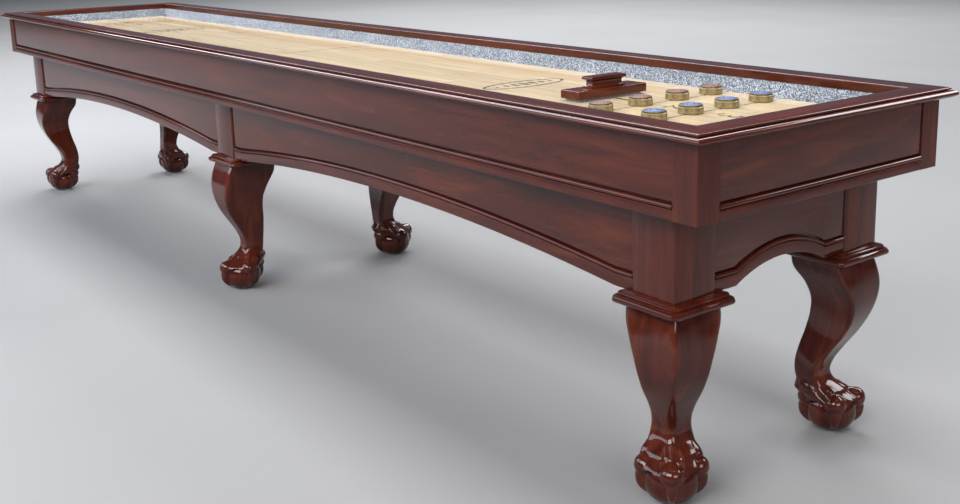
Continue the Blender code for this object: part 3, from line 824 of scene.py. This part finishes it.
# The same with a face outward: then come that face's half width and the inner face's
MIDDLE_LEG = (
    (0.4035, 0.0660, -0.0780, 0.0640, 0.0655),
    (0.3750, 0.0790, -0.0750, 0.0620, 0.0645),
    (0.3350, 0.0890, -0.0520, 0.0555, 0.0620),
    (0.3000, 0.0885, -0.0360, 0.0465, 0.0590),
    (0.2600, 0.0770, -0.0330, 0.0370, 0.0540),
    (0.2200, 0.0550, -0.0370, 0.0320, 0.0465),
    (0.1800, 0.0310, -0.0400, 0.0280, 0.0370),
    (0.1500, 0.0200, -0.0400, 0.0270, 0.0310),
    (0.1250, 0.0220, -0.0370, 0.0300, 0.0320),
    (0.1050, 0.0330, -0.0300, 0.0400, 0.0400),
)
FOOT_SHIFT = {True: 0.0, False: 0.028}  # outward, by whether an arris stands outward
RING_POINTS = 160
ANGLES = np.linspace(0.0, 2 * np.pi, RING_POINTS, endpoint=False)
TOES = tuple(math.radians(turn) for turn in (0, 90, 180, 270))

# Height, then radius, for the ball, the talons' backs and the webs; a talon's half width
BALL = (
    (0.006, 0.0340),
    (0.012, 0.0430),
    (0.022, 0.0505),
    (0.035, 0.0550),
    (0.050, 0.0560),
    (0.065, 0.0520),
    (0.080, 0.0420),
    (0.100, 0.0200),
)
TALON = (
    (0.006, 0.0365),
    (0.012, 0.0480),
    (0.022, 0.0610),
    (0.033, 0.0685),
    (0.045, 0.0712),
    (0.058, 0.0705),
    (0.070, 0.0640),
)
TALON_HALF_WIDTH = (
    (0.006, 0.0015),
    (0.014, 0.0055),
    (0.028, 0.0105),
    (0.045, 0.0150),
    (0.070, 0.0170),
)
TALON_FLANK = 0.74  # a talon's reach at its sides, as a share of its back's
WEB = (
    (0.050, 0.0640),
    (0.064, 0.0635),
    (0.080, 0.0605),
    (0.095, 0.0550),
    (0.100, 0.0525),
    (0.105, 0.0485),
    (0.112, 0.0415),
    (0.119, 0.0330),
    (0.127, 0.0200),
)
WEB_EDGE, WEB_ARCH = 0.050, 0.025  # the webs' lower edge at a toe, and its rise midway between two
WEB_HOLLOW = 0.035  # how much of its reach a web loses midway between two toes
LIP_HALF_THICKNESS = 0.0012
# A toe's tendon, the grooves beside it and the folds beyond: height, degrees from the toe, width
TENDON = ((0.0046, 0.0, 8.0), (-0.0030, 16.5, 4.0), (0.0012, 25.0, 5.0))
KNUCKLE_PLACE, KNUCKLE_HEIGHT = 0.0515, 0.0725
KNUCKLE_SIZE = (0.0225, 0.0240, 0.0220)  # radial, tangential and tall
FOOT_TOP = 0.140


def between(stations, height):
    """The stations' values at a height, on a smooth curve; beyond the ends, the end ones."""
    rows = np.array(sorted(stations))
    heights = rows[:, 0]
    height = float(np.clip(height, heights[0], heights[-1]))
    i = int(np.clip(np.searchsorted(heights, height) - 1, 0, len(rows) - 2))
    slopes = np.gradient(rows[:, 1:], heights, axis=0)
    span = heights[i + 1] - heights[i]
    t = (height - heights[i]) / span
    return (
        (2 * t**3 - 3 * t**2 + 1) * rows[i, 1:]
        + (t**3 - 2 * t**2 + t) * span * slopes[i]
        + (-2 * t**3 + 3 * t**2) * rows[i + 1, 1:]
        + (t**3 - t**2) * span * slopes[i + 1]
    )


def polygon_reach(corners, centre):
    """How far the convex polygon reaches from (centre, 0) at each of ANGLES."""
    reach = np.full(RING_POINTS, 1e9)
    ray = np.stack([np.cos(ANGLES), np.sin(ANGLES)], axis=1)
    points = np.array(corners) - np.array([centre, 0.0])
    for a, b in zip(points, np.roll(points, -1, axis=0)):
        normal = np.array([b[1] - a[1], a[0] - b[0]])
        slope = ray @ normal
        towards = np.where(np.abs(slope) < 1e-9, 1e-9, slope)
        hit = (normal @ a) / towards
        reach = np.minimum(reach, np.where(hit > 0, hit, 1e9))
    return reach


def eased(reach, degrees):
    """The reach with its corners rounded off over about so many degrees."""
    step = 360.0 / RING_POINTS
    width = int(math.ceil(3 * degrees / step))
    weights = np.exp(-0.5 * (np.arange(-width, width + 1) * step / degrees) ** 2)
    weights /= weights.sum()
    return sum(w * np.roll(reach, k) for w, k in zip(weights, range(-width, width + 1)))


def soft_max(a, b, softness):
    """The larger of the two, with a fillet where they differ by less than softness."""
    closeness = np.clip(1 - np.abs(a - b) / softness, 0, 1)
    return np.maximum(a, b) + closeness**2 * softness / 4


def smooth_step(low, high, value):
    """From 0 at low to 1 at high, level at both."""
    t = np.clip((value - low) / (high - low), 0, 1)
    return t * t * (3 - 2 * t)


def away_from(toe):
    """How far each of ANGLES is from the toe's direction."""
    return np.abs((ANGLES - toe + np.pi) % (2 * np.pi) - np.pi)


def ellipse_reach(middle, toe, radial, tangential):
    """How far an ellipse that lies along the toe reaches at each of ANGLES; 0 where missed."""
    turned_back = ANGLES - toe
    ray = np.stack([np.cos(turned_back) / radial, np.sin(turned_back) / tangential])
    start = np.array([middle[0] / radial, middle[1] / tangential])
    a = (ray**2).sum(axis=0)
    b = -2 * (ray * start[:, None]).sum(axis=0)
    root = b**2 - 4 * a * ((start**2).sum() - 1)
    return np.where(root > 0, np.maximum((-b + np.sqrt(np.maximum(root, 0))) / (2 * a), 0), 0)


def knuckles(height, offset):
    """The toes' round knuckles, seen from a point that lies offset outward of the foot's middle."""
    reach = np.zeros(RING_POINTS)
    level = (height - KNUCKLE_HEIGHT) / KNUCKLE_SIZE[2]
    if abs(level) < 1:
        share = math.sqrt(1 - level**2)
        for toe in TOES:
            middle = (KNUCKLE_PLACE - offset * math.cos(toe), offset * math.sin(toe))
            found = ellipse_reach(middle, toe, KNUCKLE_SIZE[0] * share, KNUCKLE_SIZE[1] * share)
            reach = np.maximum(reach, found)
    return reach


def talons(height):
    """Thick claws that follow the ball down from the knuckles and end in a point."""
    reach = np.zeros(RING_POINTS)
    if height < KNUCKLE_HEIGHT:
        back = float(between(TALON, height)[0])
        half_width = float(between(TALON_HALF_WIDTH, height)[0])
        for toe in TOES:
            across = away_from(toe) * back / half_width
            crown = np.sqrt(np.clip(1 - across**2, 0, 1))
            share = TALON_FLANK + (1 - TALON_FLANK) * crown**0.8
            reach = np.maximum(reach, np.where(across < 1, back * share, 0))
    return reach


def webs(height):
    """Skin from the ankle to the knuckles, ridged by each toe's tendon and ending in an arched lip."""
    web = np.full(RING_POINTS, float(between(WEB, height)[0]))
    strength = smooth_step(0.120, 0.096, height) * smooth_step(0.050, 0.070, height)
    middle_share = 1.0
    for toe in TOES:
        away = np.degrees(away_from(toe))
        for rise, place, width in TENDON:
            web = web + strength * rise * np.exp(-(((away - place) / width) ** 2))
        middle_share = middle_share * smooth_step(0, 45, away)
    edge = WEB_EDGE + WEB_ARCH * middle_share**0.6
    web = web * (1 - WEB_HOLLOW * middle_share)
    return web * smooth_step(edge - LIP_HALF_THICKNESS, edge + LIP_HALF_THICKNESS, height)


def leg_ring(height, outward_arris):
    """One level of the leg: the carved section above, the ball-and-claw foot below."""
    shift = FOOT_SHIFT[outward_arris]
    stations = CORNER_LEG if outward_arris else MIDDLE_LEG
    lowest = min(row[0] for row in stations)
    outward, inward, third, fourth = between(stations, height)
    if outward_arris:
        corners = [(outward, 0), (third, fourth), (inward, 0), (third, -fourth)]
    else:
        corners = [(outward, -third), (outward, third), (inward, fourth), (inward, -fourth)]
    down = float(smooth_step(lowest, 0.072, height))
    centre = (outward + inward) / 2 * (1 - down) + shift * down
    softness = 2.6 + 7.0 * float(smooth_step(0.25, 0.13, height))
    reach = eased(polygon_reach(corners, centre), softness)
    if height < FOOT_TOP:
        held = 1 - float(smooth_step(lowest + 0.002, lowest - 0.012, height))
        foot = np.maximum(webs(height), float(between(BALL, height)[0]))
        reach = soft_max(reach * held, foot, 0.006)
        reach = soft_max(reach, talons(height), 0.0010)
        reach = soft_max(reach, knuckles(height, centre - shift), 0.0010)
    return [(centre + r * math.cos(a), r * math.sin(a), height) for r, a in zip(reach, ANGLES)]


def cabriole(outward_arris):
    """The leg from its bored sole to the underside of the collar."""
    shift = FOOT_SHIFT[outward_arris]
    bore, bore_depth = 0.0046, 0.026
    rings = [
        [(shift + bore * math.cos(a), bore * math.sin(a), height) for a in ANGLES]
        for height in (FOOT_BOTTOM + bore_depth, FOOT_BOTTOM)
    ]
    top = CORNER_LEG[0][0]
    fine, coarse = 0.0016, 0.0055
    foot_heights = np.arange(FOOT_BOTTOM, FOOT_TOP, fine)
    shaft_heights = np.arange(FOOT_TOP, top - 0.002, coarse)
    rings += [
        leg_ring(float(height), outward_arris) for height in [*foot_heights, *shaft_heights, top]
    ]
    return loft(rings)


COLLAR_BOTTOM, COLLAR_STEP, COLLAR_TOP = 0.4040, 0.4190, 0.4275
COLLAR_HALF, COLLAR_UPPER_HALF = 0.087, 0.079
COLLAR_INSET = 0.007
COLLAR_CLIP = 0.1  # the clip of its corners, as a share of its half width
POST_ARRIS = 0.0045


def collar(inset):
    """Two stepped mouldings between the post and the knee, moved by inset."""
    middle = (COLLAR_BOTTOM + COLLAR_STEP) / 2
    nose = 0.0065
    profile = [
        (COLLAR_HALF - nose, COLLAR_BOTTOM),
        *arc((COLLAR_HALF - nose, middle), (nose, (COLLAR_STEP - COLLAR_BOTTOM) / 2), -84, 84, 12),
        (COLLAR_UPPER_HALF - 0.0005, COLLAR_STEP + 0.0002),
        (COLLAR_UPPER_HALF - 0.0005, COLLAR_STEP + 0.0012),
        *arc((COLLAR_UPPER_HALF - 0.0050, COLLAR_STEP + 0.0042), (0.0050, 0.0030), -50, 90, 7),
        (COLLAR_UPPER_HALF - 0.0085, COLLAR_STEP + 0.0074),
        (COLLAR_UPPER_HALF - 0.0100, COLLAR_TOP),
        (0.050, COLLAR_TOP),
    ]
    return loft(
        [
            [(x + inset[0], y + inset[1], z) for x, y in clipped_rectangle(out, out, COLLAR_CLIP * out)]
            for out, z in profile
        ]
    )


def post_block():
    """The square post between the collar and the cabinet, its arrises rounded."""
    inner = POST_WIDTH / 2 - POST_ARRIS
    outline = []
    for corner, (x, y) in enumerate(((1, 1), (-1, 1), (-1, -1), (1, -1))):
        for step in range(5):
            angle = math.radians(90 * corner + 22.5 * step)
            outline.append(
                (x * inner + POST_ARRIS * math.cos(angle), y * inner + POST_ARRIS * math.sin(angle))
            )
    return loft([[(x, y, height) for x, y in outline] for height in (COLLAR_TOP - 0.001, POST_TOP)])


def build_legs():
    """The six legs: each a cabriole shaft and foot, a collar and a post."""
    turns = {
        "front_near": (-45, True),
        "back_near": (45, True),
        "front_far": (-135, True),
        "back_far": (135, True),
        "front_middle": (-90, False),
        "back_middle": (90, False),
    }
    for name, (turn, outward_arris) in turns.items():
        node = f"leg_{name}"
        side = -1 if name.startswith("front") else 1
        along = {"near": 1, "far": -1, "middle": 0}[name.split("_")[1]]
        place = Matrix.Translation((along * CORNER_POST_X, side * POST_Y, 0))
        turned_place = place @ Matrix.Rotation(math.radians(turn), 4, "Z")
        bm = cabriole(outward_arris)
        bm.transform(turned_place)
        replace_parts(new_piece(f"{node}_cabriole", bm, MAHOGANY["z"], TABLE, 60), node)
        bm = collar((-along * COLLAR_INSET, -side * COLLAR_INSET))
        bm.transform(place)
        new_piece(f"{node}_collar", bm, MAHOGANY["x"], TABLE, 32)
        bm = post_block()
        bm.transform(place)
        new_piece(f"{node}_post", bm, MAHOGANY["z"], TABLE, 32)


# -------- pucks and brush


AXIS_RADIUS = 1e-5  # what a turned profile keeps at its axis
# Radius, then height above the puck's sole
PUCK_WEIGHT = (
    (0.0, 0.0),
    (0.0250, 0.0),
    (0.0262, 0.0006),
    (0.0269, 0.0020),
    (0.0269, 0.0056),
    (0.0261, 0.0060),
    (0.0261, 0.0068),
    (0.0268, 0.0072),
    (0.0268, 0.0104),
    (0.0260, 0.0108),
    (0.0260, 0.0116),
    (0.0267, 0.0120),
    (0.0265, 0.0138),
    (0.0254, 0.0152),
    (0.0, 0.0152),
)
PUCK_RIM = (
    (0.0, 0.0153),
    (0.0250, 0.0153),
    (0.0252, 0.0170),
    (0.0246, 0.0184),
    (0.0236, 0.0190),
    (0.0226, 0.0188),
    (0.0222, 0.0180),
    (0.0, 0.0180),
)
PUCK_CAP = (
    (0.0, 0.0181),
    (0.0221, 0.0181),
    (0.0220, 0.0185),
    (0.0208, 0.0188),
    (0.0080, 0.01895),
    (0.0, 0.0190),
)
# Half sizes along X and Y, then height above the block
HANDLE_LEVELS = (
    (0.0158, 0.0508, 0.0),
    (0.0158, 0.0508, 0.0030),
    (0.0150, 0.0500, 0.0040),
    (0.0128, 0.0478, 0.0050),
    (0.0112, 0.0462, 0.0075),
    (0.0106, 0.0455, 0.0115),
    (0.0112, 0.0460, 0.0145),
    (0.0135, 0.0485, 0.0172),
    (0.0168, 0.0525, 0.0186),
    (0.0178, 0.0538, 0.0196),
    (0.0180, 0.0540, 0.0215),
    (0.0172, 0.0532, 0.0245),
    (0.0160, 0.0520, 0.0258),
    (0.0150, 0.0508, 0.0260),
)


def build_pucks():
    """Each puck: a grooved brass weight, a bronze rim and a coloured cap set in it."""
    for colour in ("red", "blue"):
        for number in range(1, 5):
            node = f"puck_{colour}_{number}"
            low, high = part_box(node)
            centre = ((low.x + high.x) / 2, (low.y + high.y) / 2, low.z)
            for part, profile, surface in (
                ("weight", PUCK_WEIGHT, BRASS),
                ("rim", PUCK_RIM, BRONZE),
                ("cap", PUCK_CAP, CAPS[colour]),
            ):
                bm = turned([(max(radius, AXIS_RADIUS), height) for radius, height in profile], 64)
                piece = new_piece(f"{node}_{part}", bm, surface, node, 30)
                piece.matrix_world = Matrix.Translation(centre)
                if part == "weight":
                    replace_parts(piece, node)


def build_brush():
    """Hardwood block and handle over rows of trimmed bristle tufts."""
    low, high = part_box("brush_block")
    bm = box(low, high)
    block = new_piece("brush_block_wood", bm, MAHOGANY["y"], "brush", 35)
    bevel(block, 0.0016, 3)
    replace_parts(block, "brush_block")
    handle_low, handle_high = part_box("brush_handle")
    middle = (handle_low + handle_high) / 2
    clip = 0.0012
    rings = [
        [(middle.x + x, middle.y + y, handle_low.z + height) for x, y in clipped_rectangle(a, b, clip)]
        for a, b, height in HANDLE_LEVELS
    ]
    handle = new_piece("brush_handle_grip", loft(rings), MAHOGANY["y"], "brush", 28)
    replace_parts(handle, "brush_handle")
    build_bristles()


def build_bristles():
    """Rows of tufts, each a bundle of tapering three-sided hairs that flare out downwards."""
    low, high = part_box("brush_bristles")
    draw = random.Random(11)
    rows, columns, hairs = 7, 30, 9
    margin, spread, thickness, taper = 0.004, 0.0032, 0.00055, 0.6
    thirds = (0.0, 2.094, 4.189)
    bm = bmesh.new()
    for row in range(rows):
        for column in range(columns):
            x = low.x + margin + (high.x - low.x - 2 * margin) * row / (rows - 1)
            y = low.y + margin + (high.y - low.y - 2 * margin) * column / (columns - 1)
            for _ in range(hairs):
                turn = draw.uniform(0, 2 * math.pi)
                out = spread * math.sqrt(draw.random())
                root = Vector((x + 0.5 * out * math.cos(turn), y + 0.5 * out * math.sin(turn), high.z))
                tip = Vector((x + out * math.cos(turn), y + out * math.sin(turn), low.z))
                rings = [
                    [
                        bm.verts.new(point + Vector((size * math.cos(a), size * math.sin(a), 0)))
                        for a in thirds
                    ]
                    for point, size in ((root, thickness), (tip, thickness * taper))
                ]
                for i in range(3):
                    j = (i + 1) % 3
                    bm.faces.new((rings[0][i], rings[0][j], rings[1][j], rings[1][i]))
                bm.faces.new(rings[0])
                bm.faces.new(rings[1])
    tufts = new_piece("brush_bristle_tufts", bm, FIBRE, "brush", 40)
    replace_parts(tufts, "brush_bristles")


# -------- what stays CAD


def finish_cad_nodes():
    """CAD solids whose shape is right take a material; the corner posts' edges are eased too."""
    surfaces = {
        "corner_post": MAHOGANY["z"],
        "cabinet_floor": PLYWOOD,
        "playfield_bearer": BEARER_WOOD,
        "adjuster": STEEL,
        "joining_plate": STEEL,
        "levelling_glide": NYLON,
    }
    for name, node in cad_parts.items():
        for start, surface in surfaces.items():
            if name.startswith(start):
                node.data.materials.clear()
                node.data.materials.append(surface)
                if start == "corner_post":
                    bevel(node, 0.0014, 2)


# -------- stage, light and camera


def softbox(name, place, target, size, power, colour=(1, 1, 1)):
    """A rectangular area light at the place, facing the target."""
    light = bpy.data.lights.new(name, "AREA")
    light.shape = "RECTANGLE"
    light.size, light.size_y = size
    light.energy = power
    light.color = colour
    obj = bpy.data.objects.new(name, light)
    bpy.context.scene.collection.objects.link(obj)
    obj.location = place
    obj.rotation_euler = (Vector(target) - Vector(place)).to_track_quat("-Z", "Y").to_euler()


def build_stage():
    """The studio floor, the sky's dim fill and the softboxes."""
    bm = bmesh.new()
    bmesh.ops.create_grid(bm, x_segments=1, y_segments=1, size=60)
    mesh = bpy.data.meshes.new("studio_floor")
    bm.to_mesh(mesh)
    bm.free()
    mesh.materials.append(studio_floor())
    floor = bpy.data.objects.new("studio_floor", mesh)
    bpy.context.scene.collection.objects.link(floor)
    world = bpy.data.worlds.new("studio")
    bpy.context.scene.world = world
    world.use_nodes = True
    background = world.node_tree.nodes["Background"]
    background.inputs["Color"].default_value = (0.62, 0.78, 1.0, 1)
    background.inputs["Strength"].default_value = 0.15
    softbox("overhead", (-3.0, 0.2, 3.5), (-3.0, 0.0, 0.7), (11.5, 1.2), 350)
    softbox("front", (2.2, -4.7, 3.9), (1.0, 0.0, 0.5), (5.0, 2.5), 430, (1.0, 0.98, 0.95))
    softbox("front_left", (-3.4, -3.3, 2.7), (-3.0, 0.0, 0.5), (6.5, 2.4), 220, (0.78, 0.85, 1.0))
    softbox("right", (6.0, -1.0, 2.4), (2.0, 0.0, 0.5), (3.0, 2.0), 110, (1.0, 0.97, 0.94))
    softbox("back_right", (2.4, 4.6, 3.6), (2.0, 0.0, 0.6), (3.0, 1.4), 110)
    softbox("background", (-6.0, 6.5, 6.8), (-6.0, 6.5, 0.0), (9.0, 5.0), 1500)
    bpy.context.scene.view_settings.view_transform = "Standard"


def build_camera():
    """The camera that sees the table as the photograph does."""
    data = bpy.data.cameras.new("camera")
    data.lens = CAMERA_LENS
    data.sensor_width = 36.0
    data.shift_x, data.shift_y = CAMERA_SHIFT
    camera = bpy.data.objects.new("camera", data)
    bpy.context.scene.collection.objects.link(camera)
    camera.matrix_world = (
        Matrix.Translation(CAMERA_PLACE)
        @ Matrix.Rotation(math.radians(CAMERA_TURN), 4, "Z")
        @ Matrix.Rotation(math.radians(90 - CAMERA_TILT), 4, "X")
        @ Matrix.Rotation(math.radians(CAMERA_ROLL), 4, "Z")
    )
    bpy.context.scene.camera = camera


build_rails()
build_walls()
build_gutter_linings()
build_playfield()
build_markings()
build_aprons()
build_legs()
build_pucks()
build_brush()
finish_cad_nodes()
build_stage()
build_camera()
